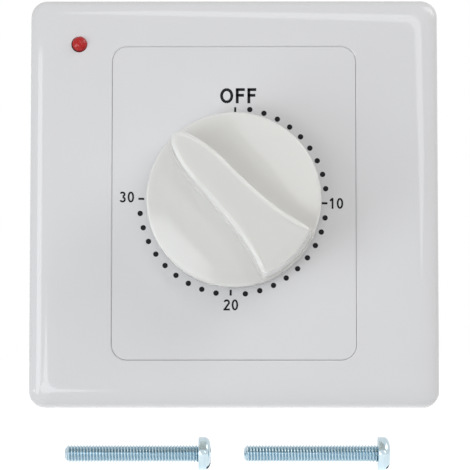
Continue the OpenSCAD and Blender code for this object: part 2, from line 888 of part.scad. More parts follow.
// Pinion cut on an arbor, in mesh with the wheel whose level it covers
module pinion(n, m, top, t, at, turn) {
  translate([at.x, at.y, 0])
    rotate([0, 0, turn])
      slab(gear_points(n, m), top + pinion_over, top - t - pinion_over);
}

module second_arbor() {
  color(steel)
    on_wall() {
      train_arbor(second_at);
      pinion(second_leaves, main_module, main_top, main_t, second_at,
             mesh_turn(second_dir, main_teeth, second_leaves));
    }
}

module second_wheel() {
  color(brass)
    on_wall()
      gear(second_teeth, second_module, second_top - wheel_t, second_top, second_at, 0, arbor_d + 2 * fit);
}

module third_arbor() {
  color(steel)
    on_wall() {
      train_arbor(third_at);
      pinion(third_leaves, second_module, second_top, wheel_t, third_at,
             mesh_turn(third_dir, second_teeth, third_leaves));
    }
}

module third_wheel() {
  color(brass)
    on_wall()
      gear(third_teeth, third_module, third_top - wheel_t, third_top, third_at, 0, arbor_d + 2 * fit);
}

module escape_arbor() {
  color(steel)
    on_wall() {
      train_arbor(escape_at);
      pinion(escape_leaves, third_module, third_top, wheel_t, escape_at,
             mesh_turn(escape_dir, third_teeth, escape_leaves));
    }
}

module escape_wheel() {
  step = 360 / escape_teeth;
  root = escape_r - escape_depth;
  points = [for (i = [0 : escape_teeth - 1], j = [0 : 3])
    polar([escape_r, escape_r, root, root][j], step * (i + [0, 0.1, 0.3, 0.85][j]))];
  color(brass)
    on_wall()
      difference() {
        translate([escape_at.x, escape_at.y, 0])
          slab(points, escape_top - wheel_t, escape_top);
        disc(arbor_d + 2 * fit, escape_top - wheel_t - over, escape_top + over, escape_at);
      }
}

module balance_arbor() {
  color(steel)
    on_wall()
      train_arbor(balance_at);
}

// Lever with two pins that stand beside the escape wheel's teeth
module pallet_lever() {
  pin_d = 0.6;
  pin_gap = 0.45;
  arm_w = 1.2;
  spread = 38;
  color(steel)
    on_wall()
      difference() {
        union() {
          disc(arbor_d + 2 * boss_wall, pallet_top - pallet_t, pallet_top, balance_at);
          for (s = [-1, 1]) {
            pin_at = escape_at + polar(escape_r + pin_gap + pin_d / 2, balance_dir + s * spread);
            reach = pin_at - balance_at;
            translate([balance_at.x, balance_at.y, pallet_top - pallet_t])
              rotate([0, 0, atan2(reach.y, reach.x)])
                translate([0, -arm_w / 2, 0])
                  cube([norm(reach) + pin_d / 2, arm_w, pallet_t]);
            disc(pin_d, pallet_top - eps, escape_top, pin_at);
          }
        }
        disc(arbor_d + 2 * fit, pallet_top - over, pallet_top + over, balance_at);
      }
}

module balance_wheel() {
  rim = 1;
  spoke_w = 1;
  from = balance_top - wheel_t;
  color(brass)
    on_wall()
      difference() {
        union() {
          difference() {
            disc(2 * balance_r, from, balance_top, balance_at);
            disc(2 * (balance_r - rim), from - over, balance_top + over, balance_at);
          }
          disc(arbor_d + 2 * boss_wall, from, balance_top, balance_at);
          block([balance_at.x - balance_r + rim / 2, balance_at.x + balance_r - rim / 2],
                [balance_at.y - spoke_w / 2, balance_at.y + spoke_w / 2], [from, balance_top]);
        }
        disc(arbor_d + 2 * fit, from - over, balance_top + over, balance_at);
      }
}

// Round cam with a lobe that meets the leaf's nub when the knob stands at OFF
module contact_cam() {
  color(ivory)
    on_wall()
      difference() {
        union() {
          disc(2 * cam_r, cam_top - cam_t, cam_top);
          slab([[0, 0], for (k = [-1 : 0.25 : 1]) polar(cam_r + cam_lobe, k * lobe_half + lobe_turn)],
               cam_top - cam_t, cam_top);
        }
        disc(journal_d + 2 * fit, cam_top - cam_t - over, cam_top + over);
      }
}

module contact_block() {
  color(bakelite)
    on_wall()
      difference() {
        union() {
          block([block_left, block_right], [block_bottom, block_top], [rear_back, block_end]);
          block([block_left - ear_w, block_left + eps],
                [ear_mids[0].y - ear_h / 2, ear_mids[0].y + ear_h / 2], [rear_back, rear_back - ear_t]);
          block([block_right - ear_w, block_right], [block_top - eps, block_top + ear_h],
                [rear_back, rear_back - ear_t]);
        }
        for (x = sleeve_xs) {
          block([x - sleeve_w / 2 - fit, x + sleeve_w / 2 + fit],
                [sleeve_mid_y - sleeve_w / 2 - fit, sleeve_mid_y + sleeve_w / 2 + fit],
                [sleeve_rear + sleeve_l + fit, block_end - over]);
          translate([x, block_bottom - over, terminal_screw_z])
            rotate([-90, 0, 0])
              cylinder(d = terminal_d + 2 * fit, h = block_wall + 2 * over);
        }
        block([strip_x - strip_t - fit, strip_x + fit], [tail_end - fit, block_top + over],
              [strip_front + fit, leaf_end - fit]);
        block([leaf_x - fit, leaf_x + leaf_t + fit], [tail_end - fit, block_top + over],
              [leaf_front + fit, leaf_end - fit]);
        for (at = ear_mids)
          disc(small_d + 2 * fit, rear_back + over, rear_back - ear_t - over, at);
      }
}

module block_screws() {
  color(steel)
    on_wall()
      for (at = ear_mids)
        translate([at.x, at.y, 0])
          small_screw(rear_back - ear_t - small_head_h, 1, small_head_h + ear_t + plate_wall);
}

// Contact rivet on the x axis
module rivet(from, to) {
  translate([min(from, to), contact_y, contact_z])
    rotate([0, 90, 0])
      cylinder(d = rivet_d, h = abs(to - from));
}

module moving_contact() {
  color(brass)
    on_wall() {
      block([leaf_x, leaf_x + leaf_t], [block_top + leaf_root_gap, leaf_up], [leaf_front, leaf_end]);
      rivet(rivet_mid + rivet_gap / 2, leaf_x + eps);
      intersection() {
        disc(4 * nub_h, leaf_front, cam_top - cam_t, [leaf_x + nub_h, 0]);
        block([leaf_x - nub_h, leaf_x + eps], [-cam_lobe, cam_lobe], [leaf_front, cam_top - cam_t]);
      }
    }
}

module leaf_terminal() {
  color(brass)
    on_wall()
      block([leaf_x, leaf_x + leaf_t], [tail_end, block_top], [leaf_front, leaf_end]);
}

module fixed_contact() {
  color(brass)
    on_wall() {
      block([strip_x - strip_t, strip_x], [tail_end, leaf_up], [strip_front, leaf_end]);
      rivet(strip_x - eps, rivet_mid - rivet_gap / 2);
    }
}

module terminal_sleeves() {
  color(brass)
    on_wall()
      for (x = sleeve_xs)
        difference() {
          block([x - sleeve_w / 2, x + sleeve_w / 2],
                [sleeve_mid_y - sleeve_w / 2, sleeve_mid_y + sleeve_w / 2],
                [sleeve_rear, sleeve_rear + sleeve_l]);
          disc(wire_bore_d, sleeve_rear - over, sleeve_rear + sleeve_l + over, [x, sleeve_mid_y]);
          translate([x, sleeve_mid_y, terminal_screw_z])
            rotate([90, 0, 0])
              cylinder(d = terminal_d + 2 * fit, h = sleeve_w);
        }
}

module terminal_screws() {
  head = block_bottom - terminal_head_h;
  tip = sleeve_mid_y - wire_bore_d / 2 - terminal_gap;
  color(steel)
    on_wall()
      for (x = sleeve_xs)
        translate([x, head, terminal_screw_z])
          rotate([-90, 0, 0])
            small_screw(0, 1, tip - head, terminal_d, small_head_d, terminal_head_h);
}

module neon_lamp() {
  from = lens_at.y - lamp_l / 2;
  to = lens_at.y + lamp_l / 2 - lamp_d / 2;
  color([0.85, 0.75, 0.65])
    on_wall() {
      across(lamp_d, from, to, lamp_z);
      translate([lens_at.x, to, lamp_z])
        sphere(d = lamp_d);
      across(lead_d, resistor_mid + resistor_l / 2, from + eps, resistor_z);
    }
}

module lamp_resistor() {
  color([0.7, 0.6, 0.45])
    on_wall() {
      across(resistor_d, resistor_mid - resistor_l / 2, resistor_mid + resistor_l / 2, resistor_z);
      across(lead_d, resistor_mid - resistor_l / 2 - lead_tail, resistor_mid, resistor_z);
    }
}

// Pan-head screw lying along x with its tip at x
module loose_bolt(x) {
  cone_h = bolt_d / 4;
  head_r = (bolt_head_d * bolt_head_d / 4 + bolt_head_h * bolt_head_h) / (2 * bolt_head_h);
  translate([x, -bolt_drop, housing_out + bolt_head_d / 2])
    rotate([0, 90, 0])
      difference() {
        union() {
          cylinder(d1 = bolt_d / 2, d2 = bolt_d, h = cone_h);
          disc(bolt_d, cone_h, bolt_l + eps);
          intersection() {
            translate([0, 0, bolt_l + bolt_head_h - head_r])
              sphere(head_r);
            disc(bolt_head_d, bolt_l, bolt_l + bolt_head_h);
          }
        }
        for (turn = [0, 90])
          rotate([0, 0, turn])
            translate([-recess_l / 2, -recess_w / 2, bolt_l + bolt_head_h - recess_depth])
              cube([recess_l, recess_w, recess_depth + over]);
      }
}

module mounting_screws() {
  color(steel)
    on_wall()
      for (x = [bolt_left_x, bolt_right_x])
        loose_bolt(x);
}

cover_frame();
indicator_lens();
base_plate();
dial_plate();
dial_screws();
rear_housing();
housing_screws();
knob();
knob_clip();
main_arbor();
front_movement_plate();
rear_movement_plate();
movement_pillars();
movement_screws();
mainspring();
spring_anchor();
main_wheel();
second_arbor();
second_wheel();
third_arbor();
third_wheel();
escape_arbor();
escape_wheel();
balance_arbor();
pallet_lever();
balance_wheel();
contact_cam();
contact_block();
block_screws();
moving_contact();
leaf_terminal();
fixed_contact();
terminal_sleeves();
terminal_screws();
neon_lamp();
lamp_resistor();
mounting_screws();
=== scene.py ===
"""A wall switch with a spring-wound countdown timer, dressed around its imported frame."""
import json
import math

import bmesh
import bpy
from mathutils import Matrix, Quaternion, Vector


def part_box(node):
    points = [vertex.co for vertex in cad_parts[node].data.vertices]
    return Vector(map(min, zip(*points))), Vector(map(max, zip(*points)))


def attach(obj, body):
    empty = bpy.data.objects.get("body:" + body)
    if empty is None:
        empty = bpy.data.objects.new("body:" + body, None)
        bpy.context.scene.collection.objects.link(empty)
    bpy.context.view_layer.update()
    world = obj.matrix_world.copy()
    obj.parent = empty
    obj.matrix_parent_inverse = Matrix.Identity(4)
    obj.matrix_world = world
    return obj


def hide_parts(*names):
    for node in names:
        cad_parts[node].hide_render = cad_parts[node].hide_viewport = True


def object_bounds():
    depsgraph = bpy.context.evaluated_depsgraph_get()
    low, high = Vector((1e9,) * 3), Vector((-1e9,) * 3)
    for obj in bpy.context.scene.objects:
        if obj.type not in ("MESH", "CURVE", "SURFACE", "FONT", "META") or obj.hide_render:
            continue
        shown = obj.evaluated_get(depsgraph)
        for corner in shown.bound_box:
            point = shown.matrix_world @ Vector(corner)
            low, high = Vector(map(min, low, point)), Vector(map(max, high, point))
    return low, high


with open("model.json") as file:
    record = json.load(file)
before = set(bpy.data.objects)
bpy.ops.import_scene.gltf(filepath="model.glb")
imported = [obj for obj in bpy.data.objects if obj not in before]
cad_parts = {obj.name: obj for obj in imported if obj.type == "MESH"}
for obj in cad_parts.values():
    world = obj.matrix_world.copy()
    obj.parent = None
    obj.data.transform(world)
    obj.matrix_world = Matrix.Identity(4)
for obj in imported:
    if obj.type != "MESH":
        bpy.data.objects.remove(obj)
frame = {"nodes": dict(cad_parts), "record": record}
cad_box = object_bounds()

# Lengths are millimetres on the wall: x to the right, y up and z out of the wall
MM = 0.001

# Points closer than the gap are joined, and shorter edges dissolved; both are metres
WELD_GAP = 1e-6
SHORT_EDGE = 1e-7


def wall(x, y, z):
    """A point on the wall, in the frame's metres."""
    return Vector((x, -z, y)) * MM


def wall_box(node):
    """Lowest and highest corner of a CAD node, on the wall."""
    low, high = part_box(node)
    return Vector((low.x, low.z, -high.y)) / MM, Vector((high.x, high.z, -low.y)) / MM


# Cover, from the frame and the cover's own edges
cover_low, cover_high = wall_box("cover_frame")
panel = cover_high.x - cover_low.x
rise = cover_high.z
cover_wall = 1.6
panel_corner = 3.5
inner_corner = 1.9
least_corner = 0.6
corner_fade = 3
edge_round = 2.0
band_run = 7.0
band_fall = 0.8
band_power = 3
band_margin = 0.1
foot_round = 0.2
lip_drop = 1.2
lip_wall = 1.2

# Dial plate
dial_low, dial_high = wall_box("dial_plate")
dial_w = dial_high.x - dial_low.x
dial_h = dial_high.y - dial_low.y
dial_corner = 3.1
seam = 0.05
window_round = 0.35
window_margin = 0.05

# Knob
knob_low, knob_high = wall_box("knob")
knob_foot = knob_low.z
knob_top = knob_high.z
knob_draft = 0.15
knob_r = (knob_high.x - knob_low.x) / 2 - knob_draft
knob_rim = rise + 9.5
knob_dome = 1.8
rim_round = 0.6
knob_wall = 1.8
hub_r = 5.5
hub_foot = knob_foot + 1
bore_r = 3.03
bore_top = rise + 14.8
knob_angle = math.radians(316)
grip_waist = 3.7
grip_waist_at = 6.0
grip_nose = 17.3
grip_tail = knob_r - 1.1
grip_widen = 0.025
grip_flare = 0.00026
grip_fall = 1.2
grip_dish = 0.2
crest_in = 0.95
crest_down = 0.75
grip_draft = 0.3
tail_draft = 0.95
grip_fillet = 0.3
roll_l = 3.0
roll_h = 0.9
tail_blend = 60
tail_blend_l = 0.8
corner_passes = 24
grip_points = 320
top_shares = (0, 0.25, 0.5, 0.7, 0.78, 0.82, 0.86, 0.9, 0.94, 0.97)
least_half = 0.01
foot_margin = 0.12
least_foot = 0.1
least_rim = 0.04

# Printed scale
print_at = Vector((-0.21, 0.32))
print_r = 19.6
print_turn = math.radians(1.4)
print_proud = 0.02
print_sunk = 0.05
dot_d = 1.14
dot_sides = 20
dots_between = 9
tick_r = 19.2
tick_w = 0.44
tick_l = 1.2
number_h = 2.3
number_w = 1.35
number_gap = 0.37
number_stroke = 0.38
number_at = {"10": (21.55, -0.5), "20": (-0.45, -21.75), "30": (-22.25, 0.85)}
word_h = 3.2
word_widths = (2.75, 1.9, 1.85)
word_gap = 0.54
word_stroke = 0.6
word_at = (1.1, 22.2)
least_mitre = 0.5

# Red lens
lens_low, lens_high = wall_box("indicator_lens")
lens_at = (lens_low + lens_high) / 2
lens_r = 1.55
lens_room = 0.13
lens_off = 0.08
lens_seat = rise - cover_wall
hole_over = 3

# Loose screws
screw_low, screw_high = wall_box("mounting_screws")
screw_head_r = (screw_high.y - screw_low.y) / 2
screw_y = (screw_low.y + screw_high.y) / 2
screw_z = screw_low.z + screw_head_r
screw_l = 30.0
screw_head_h = 2.9
screw_tips = (screw_low.x, screw_high.x - screw_l - screw_head_h)
thread_r = 2.0
thread_depth = 0.42
thread_pitch = 0.7
thread_flat = 0.15
thread_steps = 8
tip_r = 1.15
tip_slope = 1.1
head_side = 0.42 * screw_head_h
head_edge = 0.15
head_power = 2.6
head_steps = 8
slot_turn = math.radians(60)
slot_half = 0.5
slot_deep = 1.1
cross_half = 2.3
cross_deep = 1.5
recess_over = 1

# Softened edges of CAD nodes
soft_edges = {"dial_plate": 0.3, "rear_housing": 0.4, "base_plate": 0.2}
soft_from = math.radians(40)

# Camera; its pitch and turn are degrees
camera_at = (1.86, -30.6, 399.8)
camera_pitch = 3.48
camera_turn = 0.24
camera_focal = 143.5
camera_sensor = 36


# Meshes
def ring_faces(count, sides, closed):
    """Quads between rings that follow each other."""
    return [
        (k * sides + i, k * sides + (i + 1) % sides,
         (k + 1) % count * sides + (i + 1) % sides, (k + 1) % count * sides + i)
        for k in range(count if closed else count - 1)
        for i in range(sides)
    ]


def wall_mesh(name, points, faces, weld=False):
    """A mesh through points on the wall, with its faces turned outwards; weld joins points that meet."""
    mesh = bpy.data.meshes.new(name)
    mesh.from_pydata([wall(*p) for p in points], [], faces)
    form = bmesh.new()
    form.from_mesh(mesh)
    if weld:
        bmesh.ops.remove_doubles(form, verts=form.verts, dist=WELD_GAP)
        bmesh.ops.dissolve_degenerate(form, edges=form.edges, dist=SHORT_EDGE)
    bmesh.ops.recalc_face_normals(form, faces=form.faces)
    form.to_mesh(mesh)
    form.free()
    return mesh


def add_object(name, data):
    """An object in the scene with the given mesh, lamp or camera."""
    added = bpy.data.objects.new(name, data)
    bpy.context.scene.collection.objects.link(added)
    return added


def add_piece(name, points, faces, body, material, smooth_under=35):
    """A mesh piece that rides on a body, from points on the wall."""
    mesh = wall_mesh(name, points, faces, weld=True)
    mesh.shade_smooth()
    mesh.set_sharp_from_angle(angle=math.radians(smooth_under))
    mesh.materials.append(material)
    piece = add_object(name, mesh)
    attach(piece, body)
    return piece


def add_loft(name, rings, body, material, closed=False, smooth_under=35):
    """A piece through rings of as many points each; a ring on one point is a pole."""
    points = [p for ring in rings for p in ring]
    faces = ring_faces(len(rings), len(rings[0]), closed)
    return add_piece(name, points, faces, body, material, smooth_under)


def cut(piece, cutter):
    """Takes the cutter's shape out of a piece, and removes the cutter."""
    modifier = piece.modifiers.new("cut", "BOOLEAN")
    modifier.operation = "DIFFERENCE"
    modifier.solver = "EXACT"
    modifier.object = cutter
    shaped = piece.evaluated_get(bpy.context.evaluated_depsgraph_get())
    mesh = bpy.data.meshes.new_from_object(shaped)
    piece.modifiers.remove(modifier)
    piece.data = mesh
    bpy.data.objects.remove(cutter)


def rounded(w, h, r, z, arc_steps=8, side_steps=10):
    """Ring round a rectangle with round corners, with points along its sides too."""
    corners = ((1, 1), (-1, 1), (-1, -1), (1, -1))
    arcs = [
        [(sx * (w / 2 - r) + r * math.cos(math.pi / 2 * (q + i / arc_steps)),
          sy * (h / 2 - r) + r * math.sin(math.pi / 2 * (q + i / arc_steps)), z)
         for i in range(arc_steps + 1)]
        for q, (sx, sy) in enumerate(corners)
    ]
    ring = []
    for arc, following in zip(arcs, arcs[1:] + arcs[:1]):
        start, end = Vector(arc[-1]), Vector(following[0])
        ring += arc
        ring += [tuple(start.lerp(end, i / side_steps)) for i in range(1, side_steps)]
    return ring


def circle(r, z, sides, at=(0, 0)):
    """Ring of points round a place."""
    return [
        (at[0] + r * math.cos(2 * math.pi * i / sides), at[1] + r * math.sin(2 * math.pi * i / sides), z)
        for i in range(sides)
    ]


def quarter(steps):
    """Angles of a quarter turn."""
    return [math.pi / 2 * i / steps for i in range(steps + 1)]


# Materials
PLASTIC_IOR = 1.5


def new_material(name, color, roughness, metallic=0.0):
    """A material of one colour, with its shader."""
    material = bpy.data.materials.new(name)
    material.use_nodes = True
    shader = material.node_tree.nodes["Principled BSDF"]
    shader.inputs["Base Color"].default_value = (*color, 1)
    shader.inputs["Roughness"].default_value = roughness
    shader.inputs["Metallic"].default_value = metallic
    return material, shader


def add_noise(material, scale, detail=2.0, stretch=(1, 1, 1)):
    """Noise over the piece's own metres; returns its value's socket."""
    nodes, links = material.node_tree.nodes, material.node_tree.links
    place = nodes.new("ShaderNodeTexCoord")
    mapping = nodes.new("ShaderNodeMapping")
    mapping.inputs["Scale"].default_value = stretch
    noise = nodes.new("ShaderNodeTexNoise")
    noise.inputs["Scale"].default_value = scale
    noise.inputs["Detail"].default_value = detail
    links.new(place.outputs["Object"], mapping.inputs["Vector"])
    links.new(mapping.outputs["Vector"], noise.inputs["Vector"])
    return noise.outputs["Fac"]


def darker(color, share):
    return tuple(c * share for c in color)


def vary_color(material, shader, value, color, other):
    """Drifts the base colour between two shades."""
    mix = material.node_tree.nodes.new("ShaderNodeMix")
    mix.data_type = "RGBA"
    mix.inputs["A"].default_value = (*color, 1)
    mix.inputs["B"].default_value = (*other, 1)
    material.node_tree.links.new(value, mix.inputs["Factor"])
    material.node_tree.links.new(mix.outputs["Result"], shader.inputs["Base Color"])


def vary_roughness(material, shader, value, low, high):
    """Drifts the roughness between two values over the middle of the noise's range."""
    noise_low, noise_high = 0.3, 0.7
    spread = material.node_tree.nodes.new("ShaderNodeMapRange")
    spread.inputs["From Min"].default_value = noise_low
    spread.inputs["From Max"].default_value = noise_high
    spread.inputs["To Min"].default_value = low
    spread.inputs["To Max"].default_value = high
    material.node_tree.links.new(value, spread.inputs["Value"])
    material.node_tree.links.new(spread.outputs["Result"], shader.inputs["Roughness"])


def add_bump(material, shader, value, depth):
    """Raises the surface by depth millimetres where the value is high."""
    bump = material.node_tree.nodes.new("ShaderNodeBump")
    bump.inputs["Strength"].default_value = 1
    bump.inputs["Distance"].default_value = depth * MM
    material.node_tree.links.new(value, bump.inputs["Height"])
    material.node_tree.links.new(bump.outputs["Normal"], shader.inputs["Normal"])


def moulded_plastic(name, color, roughness, grain, depth, milky=0.0):
    """Moulded plastic with a faint drift of shade, gloss and surface; milky lets light into it."""
    light_reach = 1.2
    material, shader = new_material(name, color, roughness)
    shader.inputs["IOR"].default_value = PLASTIC_IOR
    shader.inputs["Subsurface Weight"].default_value = milky
    shader.inputs["Subsurface Radius"].default_value = (1, 1, 1)
    shader.inputs["Subsurface Scale"].default_value = light_reach * MM
    clouds = add_noise(material, scale=60, detail=3)
    smears = add_noise(material, scale=220, detail=3)
    vary_color(material, shader, clouds, color, darker(color, 0.965))
    vary_roughness(material, shader, smears, low=roughness * 0.85, high=roughness * 1.2)
    add_bump(material, shader, add_noise(material, grain), depth)
    return material


def brushed_metal(name, color, roughness, stretch):
    """Metal with fine marks drawn out along one way."""
    material, shader = new_material(name, color, roughness, metallic=1)
    marks = add_noise(material, scale=900, detail=4, stretch=stretch)
    vary_color(material, shader, marks, color, darker(color, 0.86))
    vary_roughness(material, shader, marks, low=roughness * 0.8, high=roughness * 1.35)
    add_bump(material, shader, marks, depth=0.004)
    return material


def paint_groove_shade(material, shader, groove_shade):
    """Painted shade where the surface is hollow, as in the roots of a thread: the base colour turns darker
    there.
    """
    hollow, proud = 0.42, 0.54
    nodes, links = material.node_tree.nodes, material.node_tree.links
    form = nodes.new("ShaderNodeNewGeometry")
    spread = nodes.new("ShaderNodeMapRange")
    spread.inputs["From Min"].default_value = hollow
    spread.inputs["From Max"].default_value = proud
    mix = nodes.new("ShaderNodeMix")
    mix.data_type = "RGBA"
    mix.inputs["A"].default_value = (*groove_shade, 1)
    links.new(form.outputs["Pointiness"], spread.inputs["Value"])
    links.new(spread.outputs["Result"], mix.inputs["Factor"])
    links.new(shader.inputs["Base Color"].links[0].from_socket, mix.inputs["B"])
    links.new(mix.outputs["Result"], shader.inputs["Base Color"])


def groove_shaded_metal(name, color, roughness, stretch, groove_shade):
    """Brushed metal with painted shade in its grooves."""
    material = brushed_metal(name, color, roughness, stretch)
    paint_groove_shade(material, material.node_tree.nodes["Principled BSDF"], groove_shade)
    return material


def clear_material(name, color, roughness, transmission):
    """Tinted clear plastic or glass."""
    material, shader = new_material(name, color, roughness)
    shader.inputs["IOR"].default_value = PLASTIC_IOR
    shader.inputs["Specular IOR Level"].default_value = 0.3
    shader.inputs["Transmission Weight"].default_value = transmission
    smears = add_noise(material, scale=150)
    vary_roughness(material, shader, smears, low=roughness * 0.8, high=roughness * 1.3)
    return material


def printing_ink():
    """Dull black ink, a little thinner in places."""
    thick, plain, thin = (0.010, 0.010, 0.012), (0.012, 0.012, 0.014), (0.022, 0.022, 0.026)
    material, shader = new_material("printing_ink", plain, roughness=0.5)
    shader.inputs["Specular IOR Level"].default_value = 0.12
    vary_color(material, shader, add_noise(material, scale=2500, detail=3), thick, thin)
    return material


MATERIALS = {
    "white_gloss": moulded_plastic(
        "white_gloss", (0.82, 0.816, 0.83), roughness=0.07, grain=1200, depth=0.0006),
    "ivory_matte": moulded_plastic("ivory_matte", (0.72, 0.71, 0.67), roughness=0.45, grain=3500, depth=0.006),
    "bakelite": moulded_plastic("bakelite", (0.16, 0.08, 0.05), roughness=0.35, grain=3000, depth=0.004),
    "steel": brushed_metal("steel", (0.6, 0.61, 0.63), roughness=0.3, stretch=(1, 1, 12)),
    # Zinc screws, with painted shade darkening the roots of their thread
    "zinc": groove_shaded_metal("zinc", (0.6, 0.72, 0.78), roughness=0.12, stretch=(8, 1, 1), groove_shade=(0.26, 0.4, 0.5)),
    "brass": brushed_metal("brass", (0.78, 0.6, 0.27), roughness=0.28, stretch=(1, 1, 10)),
    "red_lens": clear_material("red_lens", (0.62, 0.008, 0.008), roughness=0.05, transmission=0.2),
    "lamp_glass": clear_material("lamp_glass", (0.9, 0.8, 0.7), roughness=0.05, transmission=0.9),
    "resistor": moulded_plastic("resistor", (0.62, 0.5, 0.33), roughness=0.4, grain=2500, depth=0.01),
}
knob_plastic = moulded_plastic(
    "knob_plastic", (0.83, 0.825, 0.805), roughness=0.09, grain=1200, depth=0.0006, milky=1)
ink = printing_ink()


# Cover frame
def band_lean(rounds=6):
    """Lean of the cover's band where it meets the rounded edge, found in a few rounds."""
    lean = 0.0
    for _ in range(rounds):
        lean = math.atan(band_power * band_fall / (band_run - edge_round * (1 - math.sin(lean))))
    return lean


def square_ring(size, corner, inset, z):
    """Ring inside the cover's square, with corners that tighten towards its middle."""
    return rounded(size - 2 * inset, size - 2 * inset, max(least_corner, corner - inset / corner_fade), z)


def cover_rings(size, top, corner, foot, steps=6):
    """Rings up the side, over the rounded edge and along the band to the flat face."""
    lean = band_lean()
    edge_mid = top - band_fall - edge_round * math.cos(lean)
    band_from = edge_round * (1 - math.sin(lean))
    profile = [(0, foot)]
    for i in range(steps + 1):
        a = (math.pi / 2 - lean) * i / steps
        profile.append((edge_round * (1 - math.cos(a)), edge_mid + edge_round * math.sin(a)))
    for i in range(1, 2 * steps + 1):
        share = i / (2 * steps)
        fall = band_fall * (1 - share) ** band_power
        profile.append((band_from + (band_run - band_from) * share, top - fall))
    return [square_ring(size, corner, inset, z) for inset, z in profile]


def window_ring(inset, z):
    """Ring round the window for the dial plate, a little outside it."""
    return rounded(
        dial_w + 2 * seam + 2 * inset, dial_h + 2 * seam + 2 * inset, dial_corner + seam + inset, z)


def lens_hole(sides=40):
    """Rod for the hole round the lens."""
    at = lens_at + Vector((-lens_off, -lens_off, 0))
    ends = [circle(lens_r + lens_room, z, sides, at) for z in (lens_seat - hole_over, rise + hole_over)]
    caps = [tuple(range(sides)), tuple(range(sides, 2 * sides))]
    return add_object("hole", wall_mesh("hole", ends[0] + ends[1], ring_faces(2, sides, False) + caps))


def cover_frame():
    """Shell from its foot over the outside and through the window to the inside."""
    back = rise - cover_wall
    foot = [rounded(panel - 2 * foot_round, panel - 2 * foot_round, panel_corner, cover_low.z)]
    outside = cover_rings(panel, rise, panel_corner, cover_low.z + foot_round)
    face = [
        square_ring(panel, panel_corner, band_run + band_margin, rise),
        window_ring(window_round + window_margin, rise),
    ]
    window = [
        window_ring(window_round * (1 - math.sin(a)), rise - window_round + window_round * math.cos(a))
        for a in quarter(3)
    ]
    behind = [
        window_ring(0, back - lip_drop),
        window_ring(lip_wall, back - lip_drop),
        window_ring(lip_wall, back),
    ]
    inside = cover_rings(panel - 2 * cover_wall, back, inner_corner, cover_low.z)[::-1]
    rings = foot + outside + face + window + behind + inside
    piece = add_loft("cover_shell", rings, "cover", MATERIALS["white_gloss"], closed=True)
    cut(piece, lens_hole())
    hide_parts("cover_frame")


# Knob
def grip_half(v):
    """Half the grip's width at v along its middle, with the nose at positive v."""
    if v > grip_waist_at:
        share = (v - grip_waist_at) / (grip_nose - grip_waist_at)
        return grip_waist * math.sqrt(max(0.0, 1 - share * share))
    behind = grip_waist_at - v
    return grip_waist + grip_widen * behind + grip_flare * behind ** 3


def grip_radius(angle, halvings=40):
    """Distance from the knob's axis to the grip's crest, at an angle from the nose."""
    near, far = 0.0, 2 * grip_nose
    for _ in range(halvings):
        r = (near + far) / 2
        if abs(r * math.sin(angle)) < grip_half(r * math.cos(angle)) and r * math.cos(angle) < grip_nose:
            near = r
        else:
            far = r
    if math.cos(angle) > 0:
        return near
    return (near ** -tail_blend + grip_tail ** -tail_blend) ** (-1 / tail_blend)


def grip_outline(fine=6000):
    """Crest of the grip as points at even steps, each with its outward direction."""
    dense = []
    for i in range(fine):
        angle = 2 * math.pi * i / fine
        r = grip_radius(angle)
        dense.append(Vector((r * math.sin(angle), r * math.cos(angle))))
    lengths = [0.0]
    for a, b in zip(dense, dense[1:] + dense[:1]):
        lengths.append(lengths[-1] + (b - a).length)
    points = []
    k = 0
    for i in range(grip_points):
        goal = lengths[-1] * i / grip_points
        while lengths[k + 1] < goal:
            k += 1
        share = (goal - lengths[k]) / (lengths[k + 1] - lengths[k])
        points.append(dense[k].lerp(dense[(k + 1) % fine], share))
    for _ in range(corner_passes):
        points = [
            (points[i - 1] + 2 * p + points[(i + 1) % grip_points]) / 4 if p.y < -grip_tail / 2 else p
            for i, p in enumerate(points)
        ]
    outline = []
    for i, p in enumerate(points):
        along = points[(i + 1) % grip_points] - points[i - 1]
        outline.append((p, Vector((-along.y, along.x)).normalized()))
    return outline


def grip_top(p):
    """Height of the grip's top: it falls towards the tail, is slightly dished and rounds down at its end."""
    share = (p.y + grip_tail) / (grip_nose + grip_tail)
    across = min(1.0, abs(p.x) / max(grip_half(p.y), least_half))
    roll = max(0.0, roll_l - grip_tail - p.y) / roll_l
    return knob_top - grip_fall * (1 - share) - grip_dish * (1 - across ** 2) - roll_h * roll ** 2


def dome_z(r):
    """Height of the knob's dome at a distance from its axis."""
    return knob_rim + knob_dome * (1 - (r / (knob_r - rim_round)) ** 2)


def turned(p, z):
    """From the knob's own plan, with its nose up, to its photographed turn."""
    return (p.x * math.cos(knob_angle) + p.y * math.sin(knob_angle),
            p.y * math.cos(knob_angle) - p.x * math.sin(knob_angle), z)


def tail_share(p):
    """0 along the grip's flanks and 1 at its tail end."""
    share = max(0.0, min(1.0, 1 + (p.length - grip_tail) / tail_blend_l)) if p.y < 0 else 0.0
    return share * share * (3 - 2 * share)


def grip_rings(outline):
    """Rings from the middle of the grip's top over its crest and down to its foot, and the foot's plan."""
    tails = [tail_share(p) for p, n in outline]
    drafts = [grip_draft + (tail_draft - grip_draft) * tail for tail in tails]
    inner = [p - n * crest_in for p, n in outline]
    rings = []
    for share in top_shares:
        rings.append([turned(p * share, grip_top(p * share)) for p in inner])
    for a in quarter(8):
        rings.append([
            turned(p - n * crest_in * (1 - math.sin(a)), grip_top(q) - crest_down * (1 - math.cos(a)))
            for (p, n), q in zip(outline, inner)
        ])
    limit = knob_r - foot_margin
    shares = [
        max(least_foot, min(1.0, (limit - p.length) / (draft + grip_fillet)))
        for (p, n), draft in zip(outline, drafts)
    ]
    foot = [
        p + n * (draft + grip_fillet) * share
        for (p, n), draft, share in zip(outline, drafts, shares)
    ]
    for a in quarter(5):
        ring = []
        for (p, n), draft, share, end in zip(outline, drafts, shares, foot):
            q = p + n * share * (draft + grip_fillet * (1 - math.cos(a)))
            ring.append(turned(q, dome_z(end.length) + grip_fillet * share * (1 - math.sin(a))))
        rings.append(ring)
    return rings, foot


